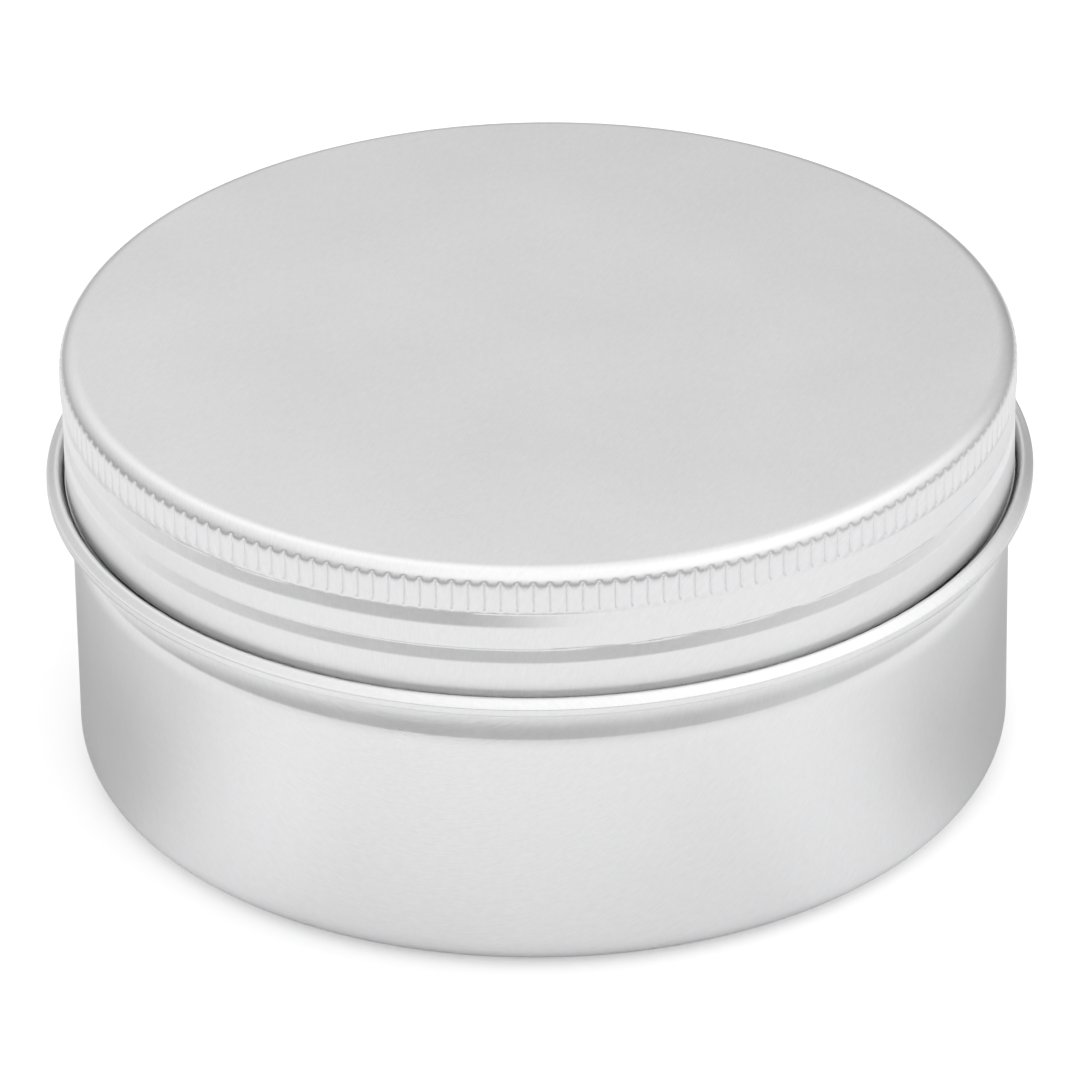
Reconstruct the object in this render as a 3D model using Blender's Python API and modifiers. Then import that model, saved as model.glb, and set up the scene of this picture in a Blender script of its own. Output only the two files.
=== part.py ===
"""Round screw-top aluminium candle tin: drawn body, knurled screw lid, foam liner, wax, wick and wick holder.

Run with: blender --background --python part.py
Units are metres, +Z is up, and the origin is the centre of the base. The lid is shown screwed down.
"""

from math import atan2, cos, hypot, pi, sin

import bpy

# Overall sizes
WALL_DIAMETER = 0.0951  # plain drawn wall of the tin, which the lid and the bead follow
BEAD_TOP = 0.03212  # height of the body up to the top of its stop bead
LID_HEIGHT = 0.01398
SHEET = 0.00035  # aluminium sheet of the body and the lid

# Body
BASE_CORNER = 0.0035  # outer radius between the wall and the base
FOOT_WIDTH = 0.0045  # flat ring that the tin stands on
PANEL_RISE = 0.0008  # the base inside the foot is pressed up by this much
PANEL_SLOPE = 0.0012
BEAD_OVER_LID = 0.00175  # the bead is the widest part of the tin and stands out beyond the lid
BEAD_HEIGHT = 0.00164
BEAD_DEPTH = 0.00150  # from the outermost point in to the seat of the lid's edge
BEAD_ARC = (150, -90)  # degrees round the bead's section, from its inner top to its underside
COVE_DEPTH = 0.00070  # the waist under the bead, measured in from the wall
COVE_HEIGHT = 0.0040
COVE_FLARE = 0.35  # share of the waist's depth that is left halfway down its slope
SEAT_DROP = 0.0013  # the shelf inside the bead, below the bead's top
RIM_CURL = 0.0010  # the mouth is rolled inwards to this width
RIM_TURN_DOWN = 0.0013

# Lid
LID_OVER_WALL = 0.0007
LID_CORNER = 0.0020
LID_EDGE_GAP = 0.0006  # the lid's lower edge sits this far below the bead's top
LID_EDGE_CURL = 0.00045  # the lower edge is turned in by this much
SKIRT_STEP = 0.00015  # the skirt below the grip band stands back by this much
GRIP_TOP_DROP = 0.0014  # from the lid's top to the top of the knurled grip band
GRIP_HEIGHT = 0.0029

# Screw thread: one start, right-handed, rolled into the neck and the lid
PITCH = 0.0043
GROOVE_TURNS = 1.325  # round the lid
RIDGE_TURNS = 1.05  # round the neck
THREAD_FROM = 165 * pi / 180  # where both begin, measured round +Z from +X
GROOVE_START_RISE = 0.00363  # the helix of the lid's groove starts this far above the lid's lower edge
GROOVE_LOWEST = 0.00488  # the groove starts level at this height, until its helix passes it
GROOVE_HIGHEST = 0.00853  # and ends level at this one
GROOVE_DEPTH = 0.00055
GROOVE_HALF_WIDTH = 0.00095
THREAD_SPREAD = 0.06  # turns over which each thread fades out at its ends
THREAD_AXIAL_GAP = 0.00005  # from the start of the lid's groove up to the neck's ridge, beyond half a ridge
THREAD_RADIAL_GAP = 0.00025  # from each thread's crest to whatever it passes on the other piece

# Liner, wax and wick
LINER_THICKNESS = 0.0010
LINER_LAP = 0.00045  # the liner reaches this far into the lid's rounded corner
WAX_BELOW_WAIST = 0.0006  # the wax stops this far below the waist under the bead
WAX_MENISCUS = 0.0005
MENISCUS_WIDTH = 0.0020
WICK_DIAMETER = 0.0023
WICK_PROUD = 0.0070  # trimmed length above the wax
WICK_EDGE = 0.0003  # worn edge of the cut end
HOLDER_DIAMETER = 0.0200
HOLDER_SHEET = 0.00035
COLLAR_HEIGHT = 0.0060
COLLAR_WALL = 0.00035
PAD_INSET = 0.0003  # the adhesive pad stops this far inside the holder's edge
PAD_THICKNESS = 0.0006

# Gaps left between touching pieces
FACE_GAP = 0.00020
FIT_GAP = 0.00020
WAX_GAP = 0.00025

# Mesh fineness
SHELL_STEPS = 64
SMALL_STEPS = 24
ARC_STEPS = 4
BEAD_STEPS = 8
MENISCUS_STEPS = 2
SHARP_ANGLE = 35  # degrees: flatter edges than this are shaded smooth
THREAD_ROW = 0.00045  # height of one row of faces where the thread is rolled
WELD = 0.00001

# Sizes that follow from the ones above
WALL_RADIUS = WALL_DIAMETER / 2
LID_RADIUS = WALL_RADIUS + LID_OVER_WALL
BEAD_RADIUS = LID_RADIUS + BEAD_OVER_LID
SKIRT_RADIUS = LID_RADIUS - SKIRT_STEP
SKIRT_INNER = SKIRT_RADIUS - SHEET
LID_BOTTOM = BEAD_TOP - LID_EDGE_GAP
TIN_HEIGHT = LID_BOTTOM + LID_HEIGHT
LID_UNDERSIDE = TIN_HEIGHT - SHEET
NECK_RADIUS = SKIRT_INNER - GROOVE_DEPTH - THREAD_RADIAL_GAP
THREAD_HEIGHT = SKIRT_RADIUS - LID_EDGE_CURL - THREAD_RADIAL_GAP - NECK_RADIUS
NECK_INNER = NECK_RADIUS - SHEET
LINER_TOP = LID_UNDERSIDE - FACE_GAP
LINER_BOTTOM = LINER_TOP - LINER_THICKNESS
RIM_TOP = LINER_BOTTOM - FACE_GAP
SEAT_Z = BEAD_TOP - SEAT_DROP
COVE_RADIUS = WALL_RADIUS - COVE_DEPTH
COVE_FOOT = BEAD_TOP - BEAD_HEIGHT - COVE_HEIGHT
WAX_LEVEL = COVE_FOOT - SHEET / 2 - WAX_BELOW_WAIST - WAX_MENISCUS
PANEL_RADIUS = WALL_RADIUS - BASE_CORNER - FOOT_WIDTH - PANEL_SLOPE
FLOOR_Z = PANEL_RISE + SHEET  # inner floor over the raised panel
GRIP_BOTTOM = TIN_HEIGHT - GRIP_TOP_DROP - GRIP_HEIGHT
GROOVE_Z = LID_BOTTOM + GROOVE_START_RISE
GROOVE_LEVELS = (LID_BOTTOM + GROOVE_LOWEST, LID_BOTTOM + GROOVE_HIGHEST)
RIDGE_Z = GROOVE_LEVELS[0] - PITCH * THREAD_SPREAD + GROOVE_HALF_WIDTH + THREAD_AXIAL_GAP
RIDGE_LEVELS = (RIDGE_Z, RIDGE_Z + PITCH * RIDGE_TURNS)
WICK_RADIUS = WICK_DIAMETER / 2
COLLAR_INNER = WICK_RADIUS + FIT_GAP
COLLAR_RADIUS = COLLAR_INNER + COLLAR_WALL
PAD_TOP = FLOOR_Z + FACE_GAP + PAD_THICKNESS
HOLDER_BOTTOM = PAD_TOP + FACE_GAP
HOLDER_TOP = HOLDER_BOTTOM + HOLDER_SHEET
COLLAR_TOP = HOLDER_TOP + COLLAR_HEIGHT

# Bare drawn aluminium, white foam, cream wax, cotton, tinplate, adhesive foam
FINISHES = {
    "tin_body": ((0.80, 0.80, 0.80), 0.32, 1.0),
    "lid_shell": ((0.80, 0.80, 0.80), 0.34, 1.0),
    "lid_liner": ((0.90, 0.90, 0.89), 0.80, 0.0),
    "wax_fill": ((0.90, 0.86, 0.76), 0.45, 0.0),
    "wick": ((0.86, 0.82, 0.72), 0.90, 0.0),
    "wick_sustainer": ((0.62, 0.62, 0.63), 0.30, 1.0),
    "wick_sticker": ((0.88, 0.88, 0.86), 0.70, 0.0),
}


def clear_scene():
    """Remove whatever the scene starts with."""
    for obj in list(bpy.context.scene.objects):
        bpy.data.objects.remove(obj, do_unlink=True)


def parts_collection():
    """The collection that holds the tin's pieces."""
    collection = bpy.data.collections.new("candle_tin")
    bpy.context.scene.collection.children.link(collection)
    return collection


def material(name):
    """A plain Principled material for the piece of this name."""
    colour, roughness, metallic = FINISHES[name]
    made = bpy.data.materials.new(name)
    made.use_nodes = True
    shader = made.node_tree.nodes["Principled BSDF"]
    shader.inputs["Base Color"].default_value = (*colour, 1.0)
    shader.inputs["Roughness"].default_value = roughness
    shader.inputs["Metallic"].default_value = metallic
    return made


def arc(centre, width, height, start, end, steps=ARC_STEPS):
    """Points (r, z) on an elliptic arc between two angles in degrees, both ends included."""
    angles = [start + (end - start) * i / steps for i in range(steps + 1)]
    return [(centre[0] + width * cos(a * pi / 180), centre[1] + height * sin(a * pi / 180)) for a in angles]


def rows(radius, top, bottom):
    """Evenly spaced points down a straight wall, ends included, one thread row apart or less."""
    count = max(1, round(abs(top - bottom) / THREAD_ROW))
    return [(radius, top + (bottom - top) * i / count) for i in range(count + 1)]


def turned(name, profile, steps, collection):
    """A piece of revolution about Z: the (r, z) profile runs down its outer side, or closes on itself."""
    closed = profile[0][0] > 0
    edges = [(i, i + 1) for i in range(len(profile) - 1)]
    if closed:
        edges.append((len(profile) - 1, 0))
    mesh = bpy.data.meshes.new(name)
    mesh.from_pydata([(r, 0, z) for r, z in profile], edges, [])
    obj = bpy.data.objects.new(name, mesh)
    collection.objects.link(obj)
    screw = obj.modifiers.new("Turn", "SCREW")
    screw.axis = "Z"
    screw.angle = 2 * pi
    screw.steps = steps
    screw.render_steps = steps
    screw.use_merge_vertices = True
    screw.merge_threshold = WELD
    screw.use_smooth_shade = True
    obj.data.materials.append(material(name))
    return obj


def make_mesh(obj):
    """Replace a turned piece's profile and modifier with the mesh that they make."""
    graph = bpy.context.evaluated_depsgraph_get()
    made = bpy.data.meshes.new_from_object(obj.evaluated_get(graph))
    made.name = obj.name
    obj.modifiers.clear()
    obj.data = made


def shade(obj):
    """Smooth shading with sharp edges kept."""
    obj.data.shade_smooth()
    obj.data.set_sharp_from_angle(angle=SHARP_ANGLE * pi / 180)


def thread_relief(azimuth, height, start, turns, levels):
    """How strongly a thread shows at this azimuth and height, from 0 to 1.

    Its helix begins at the height start and lasts for so many turns, but stays between the two levels.
    """
    first = ((azimuth - THREAD_FROM) / (2 * pi)) % 1.0
    strongest = 0.0
    for turn in (first, first + 1.0):
        if turn > turns:
            continue
        centre = min(max(start + PITCH * turn, levels[0]), levels[1])
        off = abs(height - centre) / GROOVE_HALF_WIDTH
        if off < 1.0:
            fade = min(1.0, turn / THREAD_SPREAD, (turns - turn) / THREAD_SPREAD)
            strongest = max(strongest, fade * (0.5 + 0.5 * cos(pi * off)))
    return strongest


def roll_thread(obj, push, beyond, start, turns, levels):
    """Move the points that lie beyond a radius in or out along the thread's helix."""
    for vertex in obj.data.vertices:
        x, y, z = vertex.co
        radius = hypot(x, y)
        if radius < beyond:
            continue
        moved = radius + push * thread_relief(atan2(y, x), z, start, turns, levels)
        vertex.co = (x * moved / radius, y * moved / radius, z)


def body_profile():
    """Body section: inner floor, inner wall, curled rim, neck, bead, cove, wall and base."""
    corner_r = WALL_RADIUS - BASE_CORNER
    foot_inner = corner_r - FOOT_WIDTH
    bead_r = BEAD_RADIUS - BEAD_DEPTH / 2
    bead_z = BEAD_TOP - BEAD_HEIGHT / 2
    bead_bottom = BEAD_TOP - BEAD_HEIGHT
    cove_mid = (COVE_FOOT + bead_bottom) / 2
    curl_r = NECK_RADIUS - RIM_CURL / 2
    curl_foot = RIM_TOP - RIM_TURN_DOWN
    inner_corner = BASE_CORNER - SHEET
    profile = [(0, FLOOR_Z), (PANEL_RADIUS - SHEET / 2, FLOOR_Z), (foot_inner - SHEET / 2, SHEET)]
    profile += arc((corner_r, BASE_CORNER), inner_corner, inner_corner, -90, 0)
    profile += [(WALL_RADIUS - SHEET, COVE_FOOT - SHEET / 2), (COVE_RADIUS - SHEET, cove_mid)]
    profile += [(COVE_RADIUS - SHEET, bead_bottom), (NECK_INNER, SEAT_Z - SHEET)]
    profile += [(NECK_INNER, curl_foot - SHEET), (NECK_RADIUS - RIM_CURL, curl_foot)]
    profile += arc((curl_r, RIM_TOP - RIM_CURL / 2), RIM_CURL / 2, RIM_CURL / 2, 180, 0)
    profile += rows(NECK_RADIUS, RIDGE_LEVELS[1] + GROOVE_HALF_WIDTH, RIDGE_LEVELS[0] - GROOVE_HALF_WIDTH)
    profile += [(NECK_RADIUS, SEAT_Z), (BEAD_RADIUS - BEAD_DEPTH, SEAT_Z)]
    profile += arc((bead_r, bead_z), BEAD_DEPTH / 2, BEAD_HEIGHT / 2, *BEAD_ARC, BEAD_STEPS)
    profile += [(COVE_RADIUS, bead_bottom), (COVE_RADIUS, cove_mid)]
    profile += [(COVE_RADIUS + COVE_DEPTH * COVE_FLARE, (cove_mid + COVE_FOOT) / 2), (WALL_RADIUS, COVE_FOOT)]
    profile += arc((corner_r, BASE_CORNER), BASE_CORNER, BASE_CORNER, 0, -90, ARC_STEPS + 1)
    profile += [(foot_inner, 0), (PANEL_RADIUS, PANEL_RISE), (0, PANEL_RISE)]
    return profile


def make_tin_body(collection):
    """Seamless drawn cup with a rolled neck thread, a stop bead and a raised base panel.

    The neck's ridge lies just above the start of the lid's groove, so that a closed lid cannot be pulled off.
    """
    obj = turned("tin_body", body_profile(), SHELL_STEPS, collection)
    make_mesh(obj)
    roll_thread(obj, THREAD_HEIGHT, NECK_RADIUS - SHEET / 2, RIDGE_Z, RIDGE_TURNS, RIDGE_LEVELS)
    shade(obj)
    return obj


def lid_profile():
    """Lid section: top, rounded corner, grip band, skirt, curled edge, and the inside back up."""
    inner_corner = LID_CORNER - SHEET
    corner = (LID_RADIUS - LID_CORNER, TIN_HEIGHT - LID_CORNER)
    skirt_top = GRIP_BOTTOM - SKIRT_STEP
    thread_foot = GROOVE_LEVELS[0] - GROOVE_HALF_WIDTH
    curl_top = LID_BOTTOM + LID_EDGE_CURL
    edge_r = SKIRT_RADIUS - LID_EDGE_CURL / 2
    profile = [(0, TIN_HEIGHT)]
    profile += arc(corner, LID_CORNER, LID_CORNER, 90, 0, ARC_STEPS + 1)
    profile += [(LID_RADIUS, GRIP_BOTTOM)] + rows(SKIRT_RADIUS, skirt_top, thread_foot)
    profile += arc((edge_r, LID_BOTTOM + LID_EDGE_CURL / 2), LID_EDGE_CURL / 2, LID_EDGE_CURL / 2, 0, -180)
    profile += [(SKIRT_RADIUS - LID_EDGE_CURL, curl_top), (SKIRT_INNER, curl_top + SHEET)]
    profile += rows(SKIRT_INNER, skirt_top, thread_foot)[::-1]
    profile += [(LID_RADIUS - SHEET, GRIP_BOTTOM)]
    profile += arc(corner, inner_corner, inner_corner, 0, 90)
    profile += [(0, LID_UNDERSIDE)]
    return profile


def make_lid_shell(collection):
    """One-piece drawn lid with the thread rolled in from outside."""
    obj = turned("lid_shell", lid_profile(), SHELL_STEPS, collection)
    make_mesh(obj)
    roll_thread(obj, -GROOVE_DEPTH, SKIRT_INNER - SHEET / 2, GROOVE_Z, GROOVE_TURNS, GROOVE_LEVELS)
    shade(obj)
    return obj


def make_lid_liner(collection):
    """Soft foam disc in the lid's top that seals on the tin's rim."""
    radius = LID_RADIUS - LID_CORNER + LINER_LAP
    profile = [(0, LINER_TOP), (radius, LINER_TOP), (radius, LINER_BOTTOM), (0, LINER_BOTTOM)]
    return turned("lid_liner", profile, SHELL_STEPS, collection)


def meniscus(wetted, side):
    """Points (r, z) where the wax climbs a wetted surface, going outwards (side 1) or inwards (side -1)."""
    shares = [i / MENISCUS_STEPS for i in range(MENISCUS_STEPS + 1)]
    return [(wetted + side * MENISCUS_WIDTH * s, WAX_LEVEL + WAX_MENISCUS * (1 - s) ** 2) for s in shares]


def make_wax_fill(collection):
    """Poured wax: it follows the tin inside, wets the wall and the wick, and holds the wick holder."""
    outer = WALL_RADIUS - SHEET - WAX_GAP
    corner_r = WALL_RADIUS - BASE_CORNER
    corner = BASE_CORNER - SHEET - WAX_GAP
    bore = WICK_RADIUS + FIT_GAP
    pocket = HOLDER_DIAMETER / 2 + FIT_GAP
    collar = COLLAR_RADIUS + FIT_GAP
    pocket_top = HOLDER_TOP + FACE_GAP
    panel_bottom = FLOOR_Z + WAX_GAP
    profile = [(bore, COLLAR_TOP + FACE_GAP)]
    profile += meniscus(bore, 1)
    profile += meniscus(outer, -1)[::-1]
    profile += arc((corner_r, BASE_CORNER), corner, corner, 0, -90)
    profile += [(corner_r - FOOT_WIDTH, SHEET + WAX_GAP), (PANEL_RADIUS, panel_bottom)]
    profile += [(pocket, panel_bottom), (pocket, pocket_top), (collar + COLLAR_WALL, pocket_top)]
    profile += [(collar, pocket_top + COLLAR_WALL), (collar, COLLAR_TOP + FACE_GAP)]
    return turned("wax_fill", profile, SHELL_STEPS, collection)


def make_wick(collection):
    """Braided cotton wick, standing in the holder and trimmed above the wax."""
    top = WAX_LEVEL + WICK_PROUD
    bottom = HOLDER_TOP + FACE_GAP
    profile = [(0, top), (WICK_RADIUS - WICK_EDGE, top), (WICK_RADIUS, top - WICK_EDGE)]
    profile += [(WICK_RADIUS, bottom), (0, bottom)]
    return turned("wick", profile, SMALL_STEPS, collection)


def make_wick_sustainer(collection):
    """Pressed metal tab: a flat disc with a collar that grips the wick."""
    disc = HOLDER_DIAMETER / 2
    profile = [(0, HOLDER_TOP), (COLLAR_INNER, HOLDER_TOP), (COLLAR_INNER, COLLAR_TOP)]
    profile += [(COLLAR_RADIUS, COLLAR_TOP), (COLLAR_RADIUS, HOLDER_TOP + COLLAR_WALL)]
    profile += [(COLLAR_RADIUS + COLLAR_WALL, HOLDER_TOP), (disc, HOLDER_TOP)]
    profile += [(disc, HOLDER_BOTTOM), (0, HOLDER_BOTTOM)]
    return turned("wick_sustainer", profile, 2 * SMALL_STEPS, collection)


def make_wick_sticker(collection):
    """Double-sided pad that holds the wick holder to the tin's floor."""
    radius = HOLDER_DIAMETER / 2 - PAD_INSET
    bottom = PAD_TOP - PAD_THICKNESS
    profile = [(0, PAD_TOP), (radius, PAD_TOP), (radius, bottom), (0, bottom)]
    return turned("wick_sticker", profile, 2 * SMALL_STEPS, collection)


def main():
    """Build the tin with its lid screwed down."""
    clear_scene()
    collection = parts_collection()
    make_tin_body(collection)
    make_lid_shell(collection)
    make_lid_liner(collection)
    make_wax_fill(collection)
    make_wick(collection)
    make_wick_sustainer(collection)
    make_wick_sticker(collection)


if __name__ == "__main__":
    main()
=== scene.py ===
"""Finished looks of a round screw-top aluminium candle tin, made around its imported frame.

Lengths are metres, +Z is up, the tin stands on its base at the origin and its front faces -Y.
"""

import logging
import math
from dataclasses import dataclass, field
from enum import Enum

import bpy
import numpy as np
from mathutils import Matrix, Vector


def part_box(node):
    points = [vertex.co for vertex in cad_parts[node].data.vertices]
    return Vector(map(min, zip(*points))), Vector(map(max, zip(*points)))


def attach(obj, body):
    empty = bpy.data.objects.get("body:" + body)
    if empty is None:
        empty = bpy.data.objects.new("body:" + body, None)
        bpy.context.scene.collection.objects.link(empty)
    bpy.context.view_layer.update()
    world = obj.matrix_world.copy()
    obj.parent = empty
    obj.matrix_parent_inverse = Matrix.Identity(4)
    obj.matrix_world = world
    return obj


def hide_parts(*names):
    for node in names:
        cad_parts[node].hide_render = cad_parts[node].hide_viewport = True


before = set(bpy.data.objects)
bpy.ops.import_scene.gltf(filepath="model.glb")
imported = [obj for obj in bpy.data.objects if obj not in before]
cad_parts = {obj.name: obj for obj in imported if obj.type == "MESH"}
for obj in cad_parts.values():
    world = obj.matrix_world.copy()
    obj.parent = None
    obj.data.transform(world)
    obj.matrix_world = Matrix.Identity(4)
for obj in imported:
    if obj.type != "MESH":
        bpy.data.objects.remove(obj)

MM = 0.001
FULL_TURN = 2 * math.pi
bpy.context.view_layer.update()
THREAD_PITCH = 4.3 * MM
WELD = 0.02 * MM  # spun points closer than this become one
LOG = logging.getLogger("candle_tin")

Point = tuple[float, float]
Outline = list[Point]


class Slot(Enum):
    """The record's material slots, one for each piece of the tin."""

    BODY = "tin_body"
    LID = "lid_shell"
    LINER = "lid_liner"
    WAX = "wax_fill"
    WICK = "wick"
    HOLDER = "wick_sustainer"
    PAD = "wick_sticker"


class Body(Enum):
    """The bodies that move against each other."""

    TIN = "tin"
    LINER = "liner"
    LID = "lid"


def deselect_all() -> None:
    """Leave object mode with nothing selected."""
    if bpy.context.mode != "OBJECT":
        bpy.ops.object.mode_set(mode="OBJECT")
    bpy.ops.object.select_all(action="DESELECT")


def line(start: Point, end: Point, count: int) -> Outline:
    """Evenly spaced points from start to end, without the start itself.

    Args:
        start: Where the stretch begins, as (radius, height).
        end: Where it ends.
        count: How many points it gets.

    Returns:
        The points in order.
    """
    return [tuple(a + (b - a) * i / count for a, b in zip(start, end)) for i in range(1, count + 1)]


def arc(centre: Point, width: float, height: float, start: float, end: float, count: int) -> Outline:
    """Points round an elliptic arc, both ends included.

    Args:
        centre: Middle of the ellipse, as (radius, height).
        width: Its half width.
        height: Its half height.
        start: Angle of the first point in degrees, 0 being outwards.
        end: Angle of the last point in degrees.
        count: How many steps it takes.

    Returns:
        The points in order.
    """
    angles = [math.radians(start + (end - start) * i / count) for i in range(count + 1)]
    return [(centre[0] + width * math.cos(a), centre[1] + height * math.sin(a)) for a in angles]


def spun(
        name: str, outline: Outline, steps: int, closed: bool = False, sectors: int = 8) -> bpy.types.Object:
    """Draw an outline point by point, spin it into a sector about the Z axis and repeat that all round.

    Args:
        name: Name of the new piece.
        outline: Points as (radius, height).
        steps: How many columns the full turn gets.
        closed: Whether the outline is a ring that ends where it starts.
        sectors: How many equal sectors the turn is made of, a divisor of the steps.

    Returns:
        The piece, merged and with its faces pointing out.
    """
    points = outline + outline[:1] if closed else outline
    deselect_all()
    bpy.ops.mesh.primitive_plane_add(size=MM, location=(points[0][0], 0, points[0][1]))
    piece = bpy.context.object
    piece.name = piece.data.name = name
    bpy.ops.object.transform_apply(location=True)
    bpy.ops.object.mode_set(mode="EDIT")
    bpy.ops.mesh.merge(type="CENTER")
    for (r0, z0), (r1, z1) in zip(points, points[1:]):
        bpy.ops.mesh.extrude_vertices_move(TRANSFORM_OT_translate={"value": (r1 - r0, 0, z1 - z0)})
    bpy.ops.mesh.select_all(action="SELECT")
    sector = FULL_TURN / sectors
    upright = {"center": (0, 0, 0), "axis": (0, 0, 1)}
    bpy.ops.mesh.spin(steps=steps // sectors, angle=sector, **upright)
    bpy.ops.mesh.select_all(action="SELECT")
    bpy.ops.mesh.spin(steps=sectors - 1, angle=FULL_TURN - sector, dupli=True, **upright)
    bpy.ops.mesh.select_all(action="SELECT")
    bpy.ops.mesh.remove_doubles(threshold=WELD)
    bpy.ops.mesh.normals_make_consistent(inside=False)
    bpy.ops.object.mode_set(mode="OBJECT")
    return piece


def read_points(piece: bpy.types.Object) -> np.ndarray:
    """The piece's points as rows of x, y and z."""
    points = np.empty(len(piece.data.vertices) * 3)
    piece.data.vertices.foreach_get("co", points)
    return points.reshape(-1, 3)


def write_points(piece: bpy.types.Object, points: np.ndarray) -> None:
    """Move the piece's points to these rows of x, y and z."""
    piece.data.vertices.foreach_set("co", points.astype(np.float32).ravel())
    piece.data.update()


def polar(points: np.ndarray) -> tuple[np.ndarray, np.ndarray, np.ndarray]:
    """Points as radius, azimuth round +Z from +X, and height."""
    return np.hypot(points[:, 0], points[:, 1]), np.arctan2(points[:, 1], points[:, 0]), points[:, 2]


def cartesian(radius: np.ndarray, azimuth: np.ndarray, height: np.ndarray) -> np.ndarray:
    """Rows of x, y and z from radius, azimuth and height."""
    return np.stack([radius * np.cos(azimuth), radius * np.sin(azimuth), height], axis=1)


def eased(values: np.ndarray) -> np.ndarray:
    """Values held between 0 and 1 with a smooth start and end."""
    held = np.clip(values, 0.0, 1.0)
    return held * held * (3 - 2 * held)


def smooth(piece: bpy.types.Object, sharp: float) -> None:
    """Shade the piece smooth, but for edges sharper than this many degrees."""
    deselect_all()
    piece.select_set(True)
    bpy.context.view_layer.objects.active = piece
    bpy.ops.object.shade_smooth_by_angle(angle=math.radians(sharp))


class NodeBoard:
    """A node tree with short calls to add and join nodes."""

    def __init__(self, tree: bpy.types.NodeTree) -> None:
        """Work on this tree."""
        self.tree = tree

    def add(self, kind: str, **inputs: object) -> bpy.types.Node:
        """Add a node.

        Args:
            kind: Its type, such as ShaderNodeTexNoise.
            **inputs: Values or sockets for its inputs, by name with _ for a space; settings in lower case.

        Returns:
            The node.
        """
        node = self.tree.nodes.new(kind)
        for key, value in inputs.items():
            if key.islower():
                setattr(node, key, value)
            else:
                self.feed(node.inputs[key.replace("_", " ")], value)
        return node

    def feed(self, socket: bpy.types.NodeSocket, value: object) -> None:
        """Join a socket to another one, or set its value."""
        if isinstance(value, bpy.types.NodeSocket):
            self.tree.links.new(value, socket)
        else:
            socket.default_value = value

    def maths(self, operation: str, *values: object) -> bpy.types.NodeSocket:
        """The result of a Math node.

        Args:
            operation: Its operation, such as MULTIPLY.
            *values: Its numbers or sockets in order.

        Returns:
            The socket with the result.
        """
        node = self.add("ShaderNodeMath", operation=operation)
        for socket, value in zip(node.inputs, values):
            self.feed(socket, value)
        return node.outputs[0]

    def spread(self, value: bpy.types.NodeSocket, low: float, high: float) -> bpy.types.NodeSocket:
        """A 0 to 1 pattern spread between two numbers."""
        return self.maths("MULTIPLY_ADD", value, high - low, low)

    def ramp(self, value: bpy.types.NodeSocket, low: float, high: float) -> bpy.types.NodeSocket:
        """A pattern cut off at two levels and stretched to 0 to 1 between them."""
        return self.add("ShaderNodeMapRange", Value=value, From_Min=low, From_Max=high).outputs[0]

    def step(self, value: bpy.types.NodeSocket, edge: Point) -> bpy.types.NodeSocket:
        """A smooth step from 0 at the edge's first number to 1 at its second."""
        node = self.add("ShaderNodeMapRange", interpolation_type="SMOOTHSTEP", Value=value)
        node.inputs["From Min"].default_value, node.inputs["From Max"].default_value = edge
        return node.outputs[0]

    def mix(self, share: bpy.types.NodeSocket, first: object, second: object) -> bpy.types.NodeSocket:
        """A number between two, by a 0 to 1 pattern."""
        node = self.add("ShaderNodeMix", Factor=share)
        for socket, value in zip(node.inputs[2:4], (first, second)):  # the node's pair of plain numbers
            self.feed(socket, value)
        return node.outputs[0]

    def curve(self, place: bpy.types.NodeSocket, stops: tuple[Point, ...]) -> bpy.types.NodeSocket:
        """A smooth curve through stops.

        Args:
            place: Where on the curve to read it, from 0 to 1.
            stops: Pairs of a place and the value there, from 0 to 2.

        Returns:
            The socket with the value.
        """
        highest = 2.0
        node = self.add("ShaderNodeFloatCurve", Value=place)
        points = node.mapping.curves[0].points
        while len(points) < len(stops):
            points.new(0.5, 0.5)
        for point, (start, value) in zip(points, stops):
            point.location = (start, value / highest)
            point.handle_type = "AUTO_CLAMPED"
        node.mapping.update()
        return self.maths("MULTIPLY", node.outputs[0], highest)


class MaterialBoard(NodeBoard):
    """The nodes of a new material, which starts with only its output and one Principled shader."""

    def __init__(self, name: str) -> None:
        """Start the material."""
        self.material = bpy.data.materials.new(name)
        self.material.use_nodes = True
        super().__init__(self.material.node_tree)
        self.shader = self.tree.nodes["Principled BSDF"]

    def shade(self, **inputs: object) -> None:
        """Feed the shader's inputs, by name with _ for a space."""
        for key, value in inputs.items():
            self.feed(self.shader.inputs[key.replace("_", " ")], value)

    def blend(self, share: bpy.types.NodeSocket, first: tuple, second: tuple) -> bpy.types.NodeSocket:
        """A colour between two, by a 0 to 1 pattern."""
        node = self.add("ShaderNodeMix", data_type="RGBA", Factor=share)
        for socket, colour in zip(node.inputs[6:8], (first, second)):  # the node's pair of colours
            self.feed(socket, (*colour, 1.0))
        return node.outputs[2]

    def noise(self, place: bpy.types.NodeSocket, scale: float, detail: float = 2.0) -> bpy.types.NodeSocket:
        """A noise pattern at this place, with so many cells to the metre."""
        return self.add("ShaderNodeTexNoise", Vector=place, Scale=scale, Detail=detail).outputs[0]

    def bump(self, relief: float, height: bpy.types.NodeSocket) -> None:
        """Give the shader a fine relief this deep, by a 0 to 1 pattern."""
        node = self.add("ShaderNodeBump", Strength=1.0, Distance=relief, Height=height)
        self.shade(Normal=node.outputs[0])


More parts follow.
